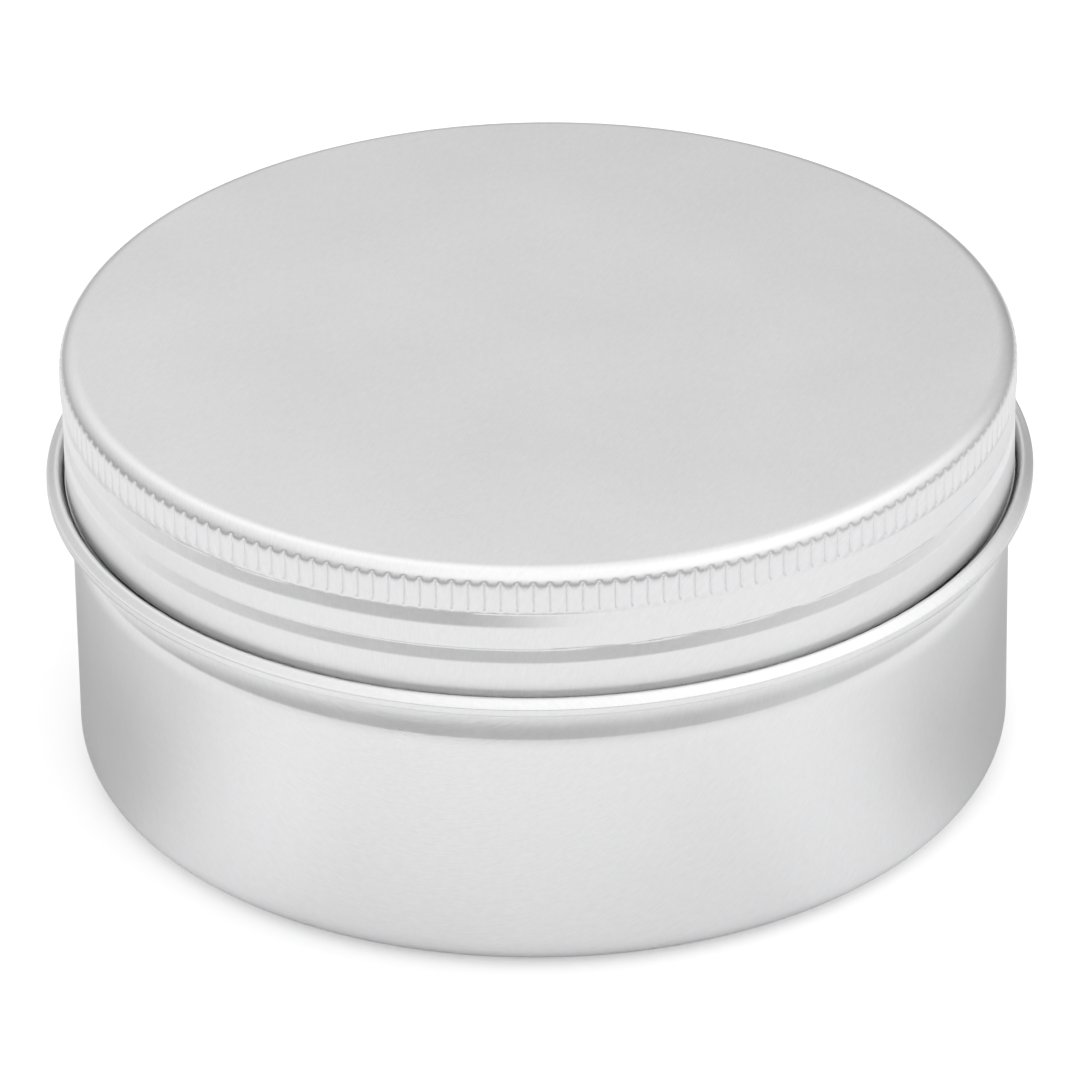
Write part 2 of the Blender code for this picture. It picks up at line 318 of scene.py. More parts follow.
@dataclass(frozen=True)
class DrawnAluminium:
    """Bare aluminium sheet whose straight rolling grain was stretched into a cup when it was drawn.

    The grain is laid out on the flat round blank: a point on the wall takes the place on the blank that it
    came from, so the grain runs up the wall on two sides and round it on the two between.
    """

    name: str
    radius: float
    datum: float  # height of the face that was the middle of the blank
    grain: float  # direction of the rolling grain, degrees from +X
    away: float = 1.0  # 1 where the wall rises above the datum, -1 where it hangs below
    tone: float = 0.87
    tone_range: float = 0.055
    roughness: float = 0.30
    roughness_range: float = 0.03
    relief: float = 0.016 * MM
    grain_width: float = 0.20 * MM
    grain_length: float = 1.8 * MM
    clouds: float = 60.0  # cells to the metre
    cloud_share: float = 0.2
    speckle: float = 1500.0  # cells to the metre
    speckle_share: float = 0.22

    def make(self) -> bpy.types.Material:
        """The finish as a material."""
        board = MaterialBoard(self.name)
        place = self.blank_place(board)
        turned = board.add("ShaderNodeMapping", Vector=place, Rotation=(0, 0, -math.radians(self.grain)))
        cell = (1 / self.grain_length, 1 / self.grain_width, 1)
        streaks = board.add("ShaderNodeMapping", Vector=turned.outputs[0], Scale=cell)
        grain = board.spread(board.noise(streaks.outputs[0], 1.0, 4.0), -0.5, 0.5)
        clouds = board.noise(place, self.clouds, 3.0)
        speckle = board.spread(board.noise(place, self.speckle), -self.speckle_share, self.speckle_share)
        level = board.maths("ADD", grain, speckle)
        cloudy = board.maths("ADD", level, board.spread(clouds, -self.cloud_share, self.cloud_share))
        low, high = self.tone - self.tone_range, self.tone + self.tone_range
        colour = board.blend(board.ramp(cloudy, -0.5, 0.5), (low, low, low), (high, high, high * 1.002))
        low, high = self.roughness - self.roughness_range, self.roughness + self.roughness_range
        rough = board.spread(board.ramp(clouds, 0.3, 0.7), low, high)
        board.shade(Base_Color=colour, Metallic=1.0, Roughness=rough)
        board.bump(self.relief, level)
        return board.material

    def blank_place(self, board: MaterialBoard) -> bpy.types.NodeSocket:
        """Where on the flat blank each point came from."""
        coordinates = board.add("ShaderNodeTexCoord").outputs["Object"]
        x, y, z = board.add("ShaderNodeSeparateXYZ", Vector=coordinates).outputs
        drop = board.maths("SUBTRACT", z, self.datum)
        stretch = board.maths("MULTIPLY_ADD", drop, self.away / self.radius, 1.0)
        x, y = (board.maths("MULTIPLY", side, stretch) for side in (x, y))
        return board.add("ShaderNodeCombineXYZ", X=x, Y=y).outputs[0]


@dataclass(frozen=True)
class MouldedMatter:
    """Wax, foam, cotton or tinplate: a mottled colour with a fine uneven surface."""

    name: str
    dark: tuple[float, float, float]
    light: tuple[float, float, float]
    roughness: float
    cells: float  # mottling, cells to the metre
    grit: float  # surface, cells to the metre
    relief: float
    metallic: float = 0.0
    waxy: float = 0.0  # share of the light that goes in and comes out elsewhere
    waxy_reach: tuple[float, float, float] = (3 * MM, 2 * MM, 1 * MM)
    roughness_range: float = 0.08

    def make(self) -> bpy.types.Material:
        """The finish as a material."""
        board = MaterialBoard(self.name)
        place = board.add("ShaderNodeTexCoord").outputs["Object"]
        mottle = board.ramp(board.noise(place, self.cells, 3.0), 0.35, 0.65)
        grit = board.noise(place, self.grit, 3.0)
        low, high = self.roughness - self.roughness_range, self.roughness + self.roughness_range
        board.shade(
            Base_Color=board.blend(mottle, self.dark, self.light), Roughness=board.spread(grit, low, high),
            Metallic=self.metallic)
        if self.waxy:
            board.shade(Subsurface_Weight=self.waxy, Subsurface_Radius=self.waxy_reach, Subsurface_Scale=1.0)
        board.bump(self.relief, grit)
        return board.material


@dataclass(frozen=True)
class RolledThread:
    """A one-start thread rolled into sheet: level where it begins and ends, and a helix between."""

    start: float  # height of the helix where it begins
    turns: float
    lowest: float  # its deepest line never goes below this height
    highest: float  # nor above this one
    depth: float
    below: float = 1.42 * MM  # from the deepest point of its section down to its edge
    above: float = 0.25 * MM  # and up to its other edge
    begins: float = math.radians(165)  # azimuth of its beginning
    pitch: float = THREAD_PITCH
    fade: float = 0.06  # turns over which each end runs out

    def relief(self, azimuth: np.ndarray, height: np.ndarray) -> np.ndarray:
        """How deep the thread is at each point, in metres.

        Args:
            azimuth: Angles round +Z from +X.
            height: Heights of the points.

        Returns:
            The depth of each point, 0 off the thread.
        """
        first = ((azimuth - self.begins) / FULL_TURN) % 1.0
        deepest = np.zeros_like(height)
        for turn in (first, first + 1.0):
            centre = np.clip(self.start + self.pitch * turn, self.lowest, self.highest)
            off = height - centre
            near = 1 - np.abs(off) / np.where(off > 0, self.above, self.below)
            section = np.where(off > 0, eased(near), np.clip(near, 0, 1))
            ends = eased(turn / self.fade) * eased((self.turns - turn) / self.fade)
            deepest = np.maximum(deepest, section * ends)
        return self.depth * deepest


@dataclass(frozen=True)
class Knurling:
    """The grip band: sharp upright notches with soft pads between, pressed into the lid's side."""

    top: float  # upper end of the pads
    bottom: float
    notches: int = 190
    notch_depth: float = 0.30 * MM
    band_depth: float = 0.004 * MM
    notch_reach: float = 0.60 * MM  # the notches run this far past the pads' upper ends
    top_edge: float = 0.45 * MM  # height over which the pressing deepens
    foot: float = 0.70 * MM  # the notches run out over this height
    inside: float = 0.5  # share of the pressing that shows inside
    columns: tuple[float, ...] = (0.0, 0.13, 0.31, 0.69, 0.87, 1.0)  # places from one notch to the next
    depths: tuple[float, ...] = (1.0, 0.42, 0.02, 0.02, 0.42, 1.0)  # share of the notch's depth at each

    @property
    def steps(self) -> int:
        """How many columns the whole lid has."""
        return self.notches * (len(self.columns) - 1)

    def share(self, azimuth: np.ndarray) -> np.ndarray:
        """Place of each point between two notches, from 0 to 1."""
        return (azimuth / FULL_TURN * self.notches) % 1.0

    def crowd(self, azimuth: np.ndarray) -> np.ndarray:
        """Bring evenly spread columns closer together at the notches."""
        places = np.linspace(0, 1, len(self.columns))
        slack = 1e-4  # so that a column on a notch isn't taken for the end of the pad before it
        share = (azimuth / FULL_TURN * self.notches + slack) % 1.0 - slack
        return azimuth + (np.interp(share, places, self.columns) - share) * FULL_TURN / self.notches

    def relief(self, azimuth: np.ndarray, height: np.ndarray) -> np.ndarray:
        """How far in the band is pressed at each point, in metres."""
        notch = np.interp(self.share(azimuth), self.columns, self.depths)
        crest = self.top + self.notch_reach * notch
        upper = eased((crest - height) / self.top_edge)
        lower = eased((height - self.bottom) / self.foot)
        return upper * lower * (self.band_depth + self.notch_depth * notch)


def finish_piece(piece: bpy.types.Object, body: Body, slot: Slot, material: bpy.types.Material) -> None:
    """Dress a finished piece and hand it to its body in place of the node of the same slot.

    Args:
        piece: The finished piece.
        body: What it moves with.
        slot: Its slot, which is also its node's name.
        material: Its finish.
    """
    piece.data.materials.clear()
    piece.data.materials.append(material)
    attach(piece, body.value)
    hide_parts(slot.value)
    corners = len(piece.data.vertices), len(piece.data.polygons)
    LOG.info("%s: %d points, %d faces, rides on %s", piece.name, *corners, body.value)


@dataclass
class TinSizes:
    """Sizes that the pieces share, taken from the frame where it holds them."""

    sheet: float = 0.35 * MM
    wall: float = 47.55 * MM
    base_corner: float = 3.5 * MM
    foot_width: float = 4.5 * MM
    panel_rise: float = 0.8 * MM
    panel_slope: float = 1.2 * MM
    bead: float = field(default_factory=lambda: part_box("tin_body")[1].x)
    rim_top: float = field(default_factory=lambda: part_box("tin_body")[1].z)
    lid: float = field(default_factory=lambda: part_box("lid_shell")[1].x)
    lid_bottom: float = field(default_factory=lambda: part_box("lid_shell")[0].z)
    lid_top: float = field(default_factory=lambda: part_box("lid_shell")[1].z)
    neck: float = 46.95 * MM
    lid_edge_drop: float = 0.6 * MM

    @property
    def bead_top(self) -> float:
        """Height of the bead's top, just above the lid's edge."""
        return self.lid_bottom + self.lid_edge_drop


@dataclass
class TinBody:
    """The seamless drawn cup: base, wall, waist, stop bead, threaded neck and curled rim."""

    sizes: TinSizes
    bead_height: float = 1.64 * MM
    bead_depth: float = 1.35 * MM  # from its outer edge in to its inner side
    bead_lean: float = 0.5 * MM  # its inner side leans in by this much down to the seat
    bead_slope: float = 0.66 * MM  # its top falls by this much to its outer edge
    crest: tuple[Point, ...] = (
        (0.0, 0.20), (0.06, 0.09), (0.17, 0.03), (0.30, 0.0), (0.42, 0.02), (0.54, 0.08))  # mm out and down
    edge_round: float = 0.14 * MM
    under_round: float = 0.34 * MM
    waist_depth: float = 0.70 * MM
    waist_height: float = 4.0 * MM
    waist_bend: float = 2.2
    seat_drop: float = 0.85 * MM
    curl: float = 1.0 * MM
    curl_drop: float = 1.3 * MM
    fillet: float = 0.2 * MM
    ridge_rise: float = 5.622 * MM  # from the lid's lower edge up to where the neck's ridge begins
    ridge_turns: float = 1.05
    ridge_depth: float = 0.45 * MM
    ridge_side: float = 0.95 * MM  # from its crest up or down to its edge
    burr: float = 0.025 * MM
    burr_reach: float = 0.13 * MM
    burr_seed: int = 7
    steps: int = 432

    def outline(self) -> Outline:
        """The section, from the middle of the floor up the inside, over the rim and down the outside."""
        s = self.sizes
        corner = (s.wall - s.base_corner, s.base_corner)
        foot = corner[0] - s.foot_width
        panel = foot - s.panel_slope
        inner_corner = s.base_corner - s.sheet
        floor = s.panel_rise + s.sheet
        waist = s.wall - self.waist_depth
        bead_foot = s.bead_top - self.bead_height
        waist_foot = bead_foot - self.waist_height
        seat = s.bead_top - self.seat_drop
        neck_inner = s.neck - s.sheet
        curl_foot = s.rim_top - self.curl_drop
        outline = [(0.0, floor)]
        outline += line(outline[-1], (panel - s.sheet / 2, floor), 4)
        outline += self.flare(outline[-1], (foot - s.sheet / 2, s.sheet), 5)
        outline += arc(corner, inner_corner, inner_corner, -90, 0, 10)
        hollow = [(waist, bead_foot - self.fillet)]
        hollow += self.flare(hollow[0], (s.wall, waist_foot), 14, self.waist_bend)
        outline += line(outline[-1], (s.wall - s.sheet, waist_foot - s.sheet), 6)
        outline += [(r - s.sheet, z) for r, z in hollow[-2::-1]]
        outline += line(outline[-1], (neck_inner, seat - s.sheet), 2)
        outline += line(outline[-1], (neck_inner, curl_foot - s.sheet), 30)
        outline += line(outline[-1], (s.neck - self.curl, curl_foot), 2)
        roll = self.curl / 2
        outline += arc((s.neck - roll, s.rim_top - roll), roll, roll, 180, 0, 12)
        outline += line(outline[-1], (s.neck, seat + self.fillet), 44)
        outline += arc((s.neck + self.fillet, seat + self.fillet), self.fillet, self.fillet, 180, 270, 4)[1:]
        outline += self.bead_outline(seat)
        outline += arc((waist + self.fillet, hollow[0][1]), self.fillet, self.fillet, 90, 180, 4)
        outline += hollow[1:]
        outline += line(outline[-1], (s.wall, s.base_corner), 12)
        outline += arc(corner, s.base_corner, s.base_corner, 0, -90, 14)[1:]
        outline += line(outline[-1], (foot, 0.0), 3)
        outline += self.flare(outline[-1], (panel, s.panel_rise), 5)
        outline += line(outline[-1], (0.0, s.panel_rise), 5)
        return outline

    def bead_outline(self, seat: float) -> Outline:
        """The rolled bead's section, from the seat inside it round to its underside."""
        s = self.sizes
        inner, top, foot = s.bead - self.bead_depth, s.bead_top, s.bead_top - self.bead_height
        crest = [(inner + out * MM, top - down * MM) for out, down in self.crest]
        edge = (s.bead - self.edge_round, top - self.bead_slope)
        outline = line((s.neck + self.fillet, seat), (inner - self.bead_lean, seat), 4)
        outline += line(outline[-1], crest[0], 6) + crest[1:]
        outline += line(outline[-1], edge, 5)
        outline += arc((edge[0], edge[1] - self.edge_round), self.edge_round, self.edge_round, 50, 0, 5)
        turn = self.under_round
        outline += line(outline[-1], (s.bead, foot + turn), 2)
        outline += arc((s.bead - turn, foot + turn), turn, turn, 0, -90, 6)[1:]
        return outline

    @staticmethod
    def flare(start: Point, end: Point, count: int, power: float = 2.0) -> Outline:
        """A curve that leaves its start upright and bends over towards its end.

        Args:
            start: Where it begins.
            end: Where it ends.
            count: How many points it gets.
            power: How late it bends.

        Returns:
            The points in order, without the start.
        """
        width, height = end[0] - start[0], end[1] - start[1]
        shares = [i / count for i in range(1, count + 1)]
        return [(start[0] + width * t**power, start[1] + height * t) for t in shares]

    def neck_thread(self) -> RolledThread:
        """The ridge that stands out from the neck, just above the start of the lid's groove."""
        start, turns, side = self.sizes.lid_bottom + self.ridge_rise, self.ridge_turns, self.ridge_side
        end = start + turns * THREAD_PITCH
        return RolledThread(start, turns, start, end, self.ridge_depth, below=side, above=side)

    def build(self) -> bpy.types.Object:
        """Spin the section, roll the thread and nick the bead's inner edge."""
        piece = spun("drawn_tin_body", self.outline(), self.steps)
        radius, azimuth, height = polar(read_points(piece))
        slack = 0.1 * self.sizes.sheet
        neck_inner = self.sizes.neck - self.sizes.sheet
        neck = (radius > neck_inner - 2 * slack) & (radius < self.sizes.neck + slack)
        neck &= height > self.sizes.bead_top
        radius += neck * self.neck_thread().relief(azimuth, height)
        write_points(piece, cartesian(radius, azimuth, height))
        self.nick_edge(piece)
        smooth(piece, 40)
        return piece

    def nick_edge(self, piece: bpy.types.Object) -> None:
        """Leave small uneven burrs where the bead's sheet is turned over inside."""
        radius, azimuth, height = polar(read_points(piece))
        inner, top = self.sizes.bead - self.bead_depth, self.sizes.bead_top - self.crest[0][1] * MM
        near = np.hypot(radius - inner, height - top) < self.burr_reach
        random = np.random.default_rng(self.burr_seed)
        column = np.round(azimuth / FULL_TURN * self.steps).astype(int) % self.steps
        burr = random.uniform(-self.burr, self.burr, (2, self.steps))[:, column]
        write_points(piece, cartesian(radius + near * burr[0], azimuth, height + near * burr[1]))

    def dress(self, piece: bpy.types.Object) -> None:
        """Give the body its drawn sheet."""
        sheet = DrawnAluminium("drawn_aluminium_body", self.sizes.wall, 0.0, grain=-15.0)
        finish_piece(piece, Body.TIN, Slot.BODY, sheet.make())


@dataclass
class ScrewLid:
    """The one-piece lid: flat top, rounded edge, knurled band, rolled groove and curled lower edge."""

    sizes: TinSizes
    corner: float = 2.0 * MM
    grip_drop: float = 1.52 * MM  # from the lid's top down to the pads' upper ends
    grip_height: float = 2.93 * MM
    skirt_step: float = 0.15 * MM  # the skirt is this much smaller than the lid
    step_top: float = 0.55 * MM  # the step begins this far above the band's foot
    step_foot: float = 0.10 * MM  # and ends this far below it
    edge_curl: float = 0.45 * MM
    groove_foot: float = 3.85 * MM  # heights of the groove above the lid's lower edge
    groove_start: float = 4.10 * MM
    groove_lowest: float = 5.35 * MM
    groove_highest: float = 9.33 * MM
    groove_turns: float = 1.325
    groove_depth: float = 0.32 * MM
    slack: float = 0.1 * MM

    @property
    def skirt_inner(self) -> float:
        """Radius of the skirt's inside."""
        return self.sizes.lid - self.skirt_step - self.sizes.sheet

    def knurling(self) -> Knurling:
        """The grip band's place on the lid."""
        top = self.sizes.lid_top - self.grip_drop
        return Knurling(top, top - self.grip_height)

    def groove(self) -> RolledThread:
        """The thread rolled into the skirt."""
        foot = self.sizes.lid_bottom
        lowest, highest = foot + self.groove_lowest, foot + self.groove_highest
        return RolledThread(foot + self.groove_start, self.groove_turns, lowest, highest, self.groove_depth)

    def outline(self) -> Outline:
        """The section, from the middle of the top down the outside, round the edge and up the inside."""
        s = self.sizes
        centre = (s.lid - self.corner, s.lid_top - self.corner)
        inner_corner = self.corner - s.sheet
        band_foot = self.knurling().bottom
        skirt = s.lid - self.skirt_step
        groove_foot = s.lid_bottom + self.groove_foot
        curl = self.edge_curl
        outline = [(0.0, s.lid_top), (0.5 * s.lid, s.lid_top)]
        outline += arc(centre, self.corner, self.corner, 90, 40, 6)
        outline += arc(centre, self.corner, self.corner, 40, 0, 8)[1:]
        outline += line(outline[-1], (s.lid, band_foot + self.step_top), 3)
        outline += line(outline[-1], (skirt, band_foot - self.step_foot), 5)
        outline += line(outline[-1], (skirt, groove_foot), 42)
        outline += line(outline[-1], (skirt, s.lid_bottom + curl / 2), 2)
        outline += arc((skirt - curl / 2, s.lid_bottom + curl / 2), curl / 2, curl / 2, 0, -180, 6)[1:]
        outline += [(skirt - curl, s.lid_bottom + curl), (self.skirt_inner, s.lid_bottom + curl + s.sheet)]
        outline += [(self.skirt_inner, groove_foot)]
        outline += line(outline[-1], (self.skirt_inner, band_foot), 8)
        outline += line(outline[-1], (s.lid - s.sheet, centre[1]), 2)
        outline += arc(centre, inner_corner, inner_corner, 0, 90, 4)[1:]
        outline += [(0.5 * s.lid, s.lid_top - s.sheet), (0.0, s.lid_top - s.sheet)]
        return outline

    def build(self) -> bpy.types.Object:
        """Spin the section, then press in the knurling and roll the groove."""
        s, knurling = self.sizes, self.knurling()
        piece = spun("knurled_screw_lid", self.outline(), knurling.steps, sectors=10)
        radius, azimuth, height = polar(read_points(piece))
        azimuth = knurling.crowd(azimuth)
        from_corner = np.hypot(radius - s.lid + self.corner, height - s.lid_top + self.corner)
        outside = (height < s.lid_top - self.corner) | (from_corner > self.corner - 0.5 * s.sheet)
        outside &= radius > self.skirt_inner + 0.75 * s.sheet
        side = radius > self.skirt_inner - self.slack
        band = np.where(outside, 1.0, knurling.inside * side)
        skirt = side & (height < knurling.bottom + 2 * self.slack)
        pressed = band * knurling.relief(azimuth, height) + skirt * self.groove().relief(azimuth, height)
        write_points(piece, cartesian(radius - pressed, azimuth, height))
        smooth(piece, 50)
        return piece

    def dress(self, piece: bpy.types.Object) -> None:
        """Give the lid its drawn sheet."""
        s = self.sizes
        sheet = DrawnAluminium("drawn_aluminium_lid", s.lid, s.lid_top, grain=71.0, away=-1.0)
        finish_piece(piece, Body.LID, Slot.LID, sheet.make())


@dataclass
class LidLiner:
    """The white foam disc inside the lid, with a shallow ring pressed into its lower face near the edge."""

    sizes: TinSizes
    edge: float = 0.25 * MM
    ring: tuple[float, ...] = (1.4 * MM, 1.8 * MM, 2.3 * MM)  # edge, bottom and edge, in from the neck
    ring_depth: float = 0.08 * MM
    steps: int = 288

    def build(self) -> bpy.types.Object:
        """Spin a disc with soft edges and a shallow ring in its lower face."""
        low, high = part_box("lid_liner")
        radius = high.x
        outer, middle, inner = (self.sizes.neck - place for place in self.ring)
        outline = [(0.0, high.z), (radius / 2, high.z)]
        outline += arc((radius - self.edge, high.z - self.edge), self.edge, self.edge, 90, 0, 4)
        outline += arc((radius - self.edge, low.z + self.edge), self.edge, self.edge, 0, -90, 4)
        outline += [(outer, low.z), (middle, low.z + self.ring_depth), (inner, low.z)]
        outline += [(radius / 2, low.z), (0.0, low.z)]
        piece = spun("foam_lid_liner", outline, self.steps)
        smooth(piece, 40)
        return piece

    def dress(self, piece: bpy.types.Object) -> None:
        """Give the liner its foam."""
        foam = MouldedMatter(
            "white_expanded_foam", (0.80, 0.80, 0.79), (0.90, 0.90, 0.89), 0.75,
            cells=900.0, grit=3500.0, relief=0.03 * MM)
        finish_piece(piece, Body.LINER, Slot.LINER, foam.make())


@dataclass
class WaxFill:
    """The poured wax, which climbs a little where it wets the tin and the wick."""

    sizes: TinSizes
    meniscus: float = 0.5 * MM
    meniscus_width: float = 2.0 * MM
    wall_gap: float = 0.25 * MM
    wick_gap: float = 0.05 * MM
    holder_gap: float = 0.2 * MM
    collar_room: float = 0.75 * MM  # from the wick's hole out to the wax round the collar
    collar_fillet: float = 0.35 * MM
    ripple: float = 0.06 * MM
    ripple_fade: float = 4 * MM
    steps: int = 288

    def climb(self, wetted: float, side: float, level: float) -> Outline:
        """The curve up a wetted surface at this radius; side is 1 outwards and -1 inwards."""
        reach = side * self.meniscus_width
        return [(wetted + reach * i / 6, level + self.meniscus * (1 - i / 6) ** 2) for i in range(7)]

    def build(self) -> bpy.types.Object:
        """Spin the wax round its wick hole and leave its surface slightly uneven."""
        s = self.sizes
        low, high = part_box("wax_fill")
        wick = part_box("wick")[1].x + self.wick_gap
        holder_low, holder_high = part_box("wick_sustainer")
        level = high.z - self.meniscus
        outer = s.wall - s.sheet - self.wall_gap
        inner_corner = s.base_corner - s.sheet - self.wall_gap
        corner = (s.wall - s.base_corner, s.base_corner)
        floor = s.panel_rise + s.sheet + self.wall_gap
        pocket = holder_high.x + self.holder_gap
        tab_top = holder_low.z + s.sheet + self.holder_gap
        collar = wick + self.collar_room
        collar_top = holder_high.z + self.holder_gap
        outline = [(wick, collar_top)] + self.climb(wick, 1, level)
        outline += line(outline[-1], (outer - self.meniscus_width, level), 24)[:-1]
        outline += self.climb(outer, -1, level)[::-1]
        outline += arc(corner, inner_corner, inner_corner, 0, -90, 6)
        outline += [(corner[0] - s.foot_width, low.z), (corner[0] - s.foot_width - s.panel_slope, floor)]
        outline += [(pocket, floor), (pocket, tab_top), (collar + self.collar_fillet, tab_top)]
        outline += [(collar, tab_top + self.collar_fillet), (collar, collar_top)]
        piece = spun("poured_wax_fill", outline, self.steps, closed=True)
        points = read_points(piece)
        radius, azimuth, height = polar(points)
        top = height > level - 0.01 * MM
        waves = np.sin(3 * azimuth + 90 * radius) * np.cos(2 * azimuth - 140 * radius)
        points[:, 2] -= top * self.ripple * (1 + waves) * eased((outer - radius) / self.ripple_fade)
        write_points(piece, points)
        smooth(piece, 35)
        return piece

    def dress(self, piece: bpy.types.Object) -> None:
        """Give the wax its cream mottling."""
        wax = MouldedMatter(
            "cream_candle_wax", (0.83, 0.78, 0.66), (0.91, 0.87, 0.77), 0.42,
            cells=220.0, grit=900.0, relief=0.012 * MM, waxy=0.25)
        finish_piece(piece, Body.TIN, Slot.WAX, wax.make())


@dataclass
class Wick:
    """The braided cotton wick: strands that wind both ways round a core and pass over and under."""

    strands: int = 4
    strand_radius: float = 0.36 * MM
    lay: float = 7.0 * MM  # height of one turn of a strand
    weave: float = 0.16 * MM  # how far a strand passes over and under
    core: float = 0.62  # the core's share of the wick's radius
    per_turn: int = 24

    def strand(self, way: int, phase: float) -> bpy.types.Object:
        """One strand.

        Args:
            way: 1 or -1, which way it winds.
            phase: Its angle where it starts.

        Returns:
            The strand as a curve.
        """
        low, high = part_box("wick")
        middle = high.x - self.strand_radius - self.weave
        turns = (high.z - low.z - 2 * self.strand_radius) / self.lay
        count = round(turns * self.per_turn)
        curve = bpy.data.curves.new("strand", "CURVE")
        curve.dimensions = "3D"
        curve.bevel_depth = self.strand_radius
        curve.bevel_resolution = 1
        curve.use_fill_caps = True
        spline = curve.splines.new("POLY")
        spline.points.add(count)
        for i, point in enumerate(spline.points):
            turn = turns * i / count
            angle = phase + way * FULL_TURN * turn
            radius = middle + way * self.weave * math.cos(FULL_TURN * turn * self.strands)
            height = low.z + self.strand_radius + self.lay * turn
            point.co = (radius * math.cos(angle), radius * math.sin(angle), height, 1)
        strand = bpy.data.objects.new("strand", curve)
        bpy.context.scene.collection.objects.link(strand)
        return strand

    def build(self) -> bpy.types.Object:
        """Wind the strands both ways, add the core and join them."""
        low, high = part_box("wick")
        radius, top, foot = self.core * high.x, high.z - 0.5 * MM, low.z + 0.2 * MM
        section = [(0.0, top), (0.5 * high.x, top - 0.1 * MM), (radius, top - 0.5 * MM)]
        core = spun("braided_wick", section + [(radius, foot), (0.0, foot)], 16)
        quarter = FULL_TURN / self.strands
        strands = [self.strand(way, i * quarter) for way in (1, -1) for i in range(self.strands)]
        deselect_all()
        for strand in strands:
            strand.select_set(True)
        bpy.context.view_layer.objects.active = strands[0]
        bpy.ops.object.convert(target="MESH")
        core.select_set(True)
        bpy.context.view_layer.objects.active = core
        bpy.ops.object.join()
        bpy.ops.object.mode_set(mode="EDIT")
        bpy.ops.mesh.select_all(action="SELECT")
        bpy.ops.mesh.remove_doubles(threshold=0.001 * MM)
        bpy.ops.mesh.normals_make_consistent(inside=False)
        bpy.ops.object.mode_set(mode="OBJECT")
        smooth(core, 60)
        return core

    def dress(self, piece: bpy.types.Object) -> None:
        """Give the wick its waxed cotton."""
        cotton = MouldedMatter(
            "waxed_cotton", (0.74, 0.69, 0.57), (0.88, 0.84, 0.74), 0.75,
            cells=1800.0, grit=9000.0, relief=0.02 * MM)
        finish_piece(piece, Body.TIN, Slot.WICK, cotton.make())


@dataclass
class WickHolder:
    """The pressed tinplate tab with its crimped collar, and the sticky pad under it."""

    sheet: float = 0.35 * MM
    collar_gap: float = 0.2 * MM  # between the wick and the collar
    collar_wall: float = 0.35 * MM
    collar_fillet: float = 0.5 * MM
    edge: float = 0.1 * MM
    crimp: float = 0.12 * MM
    crimp_reach: float = 0.9 * MM  # up and down from its middle
    crimp_rise: float = 1.0 * MM  # its middle is this far above the collar's
    steps: int = 96

    def build_tab(self) -> bpy.types.Object:
        """Spin the tab and crimp its collar on four sides."""
        low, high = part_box("wick_sustainer")
        top = low.z + self.sheet
        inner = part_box("wick")[1].x + self.collar_gap
        outer = inner + self.collar_wall
        disc, edge, fillet = high.x, self.edge, self.collar_fillet
        outline = [(0.0, top), (inner, top)] + line((inner, top), (inner, high.z), 10)
        outline += [(outer, high.z)] + line((outer, high.z), (outer, top + fillet), 10)
        outline += arc((outer + fillet, top + fillet), fillet, fillet, 180, 270, 5)[1:]
        outline += line(outline[-1], (0.9 * disc, top), 4)
        outline += [(disc - edge, top), (disc, top - edge), (disc, low.z + edge)]
        outline += [(disc - edge, low.z), (0.5 * disc, low.z), (0.0, low.z)]
        piece = spun("pressed_wick_tab", outline, self.steps)
        radius, azimuth, height = polar(read_points(piece))
        middle = (low.z + high.z) / 2 + self.crimp_rise
        grip = np.exp(-(((height - middle) / self.crimp_reach) ** 2))
        slack = 0.05 * MM
        collar = (radius < outer + slack) & (radius > inner - slack) & (height > top + 2 * fillet)
        radius -= collar * self.crimp * grip * (0.5 + 0.5 * np.cos(4 * azimuth))
        write_points(piece, cartesian(radius, azimuth, height))
        smooth(piece, 40)
        return piece

    def build_pad(self) -> bpy.types.Object:
        """Spin the pad with cut edges that bulge a little."""
        low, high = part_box("wick_sticker")
        middle, half = (low.z + high.z) / 2, (high.z - low.z) / 2
        outline = [(0.0, high.z), (high.x / 2, high.z)]
        outline += arc((high.x - half / 3, middle), half / 3, half, 90, -90, 8)
        outline += [(high.x / 2, low.z), (0.0, low.z)]
        piece = spun("adhesive_pad", outline, self.steps)
        smooth(piece, 50)
        return piece

    def dress(self, tab: bpy.types.Object, pad: bpy.types.Object) -> None:
        """Give the tab its tinplate and the pad its foam."""
        tinplate = MouldedMatter(
            "bright_tinplate", (0.56, 0.56, 0.57), (0.66, 0.66, 0.67), 0.28,
            cells=700.0, grit=2500.0, relief=0.003 * MM, metallic=1.0)
        foam = MouldedMatter(
            "adhesive_foam", (0.80, 0.80, 0.78), (0.90, 0.90, 0.88), 0.70,
            cells=1200.0, grit=4000.0, relief=0.02 * MM)
        finish_piece(tab, Body.TIN, Slot.HOLDER, tinplate.make())
        finish_piece(pad, Body.TIN, Slot.PAD, foam.make())


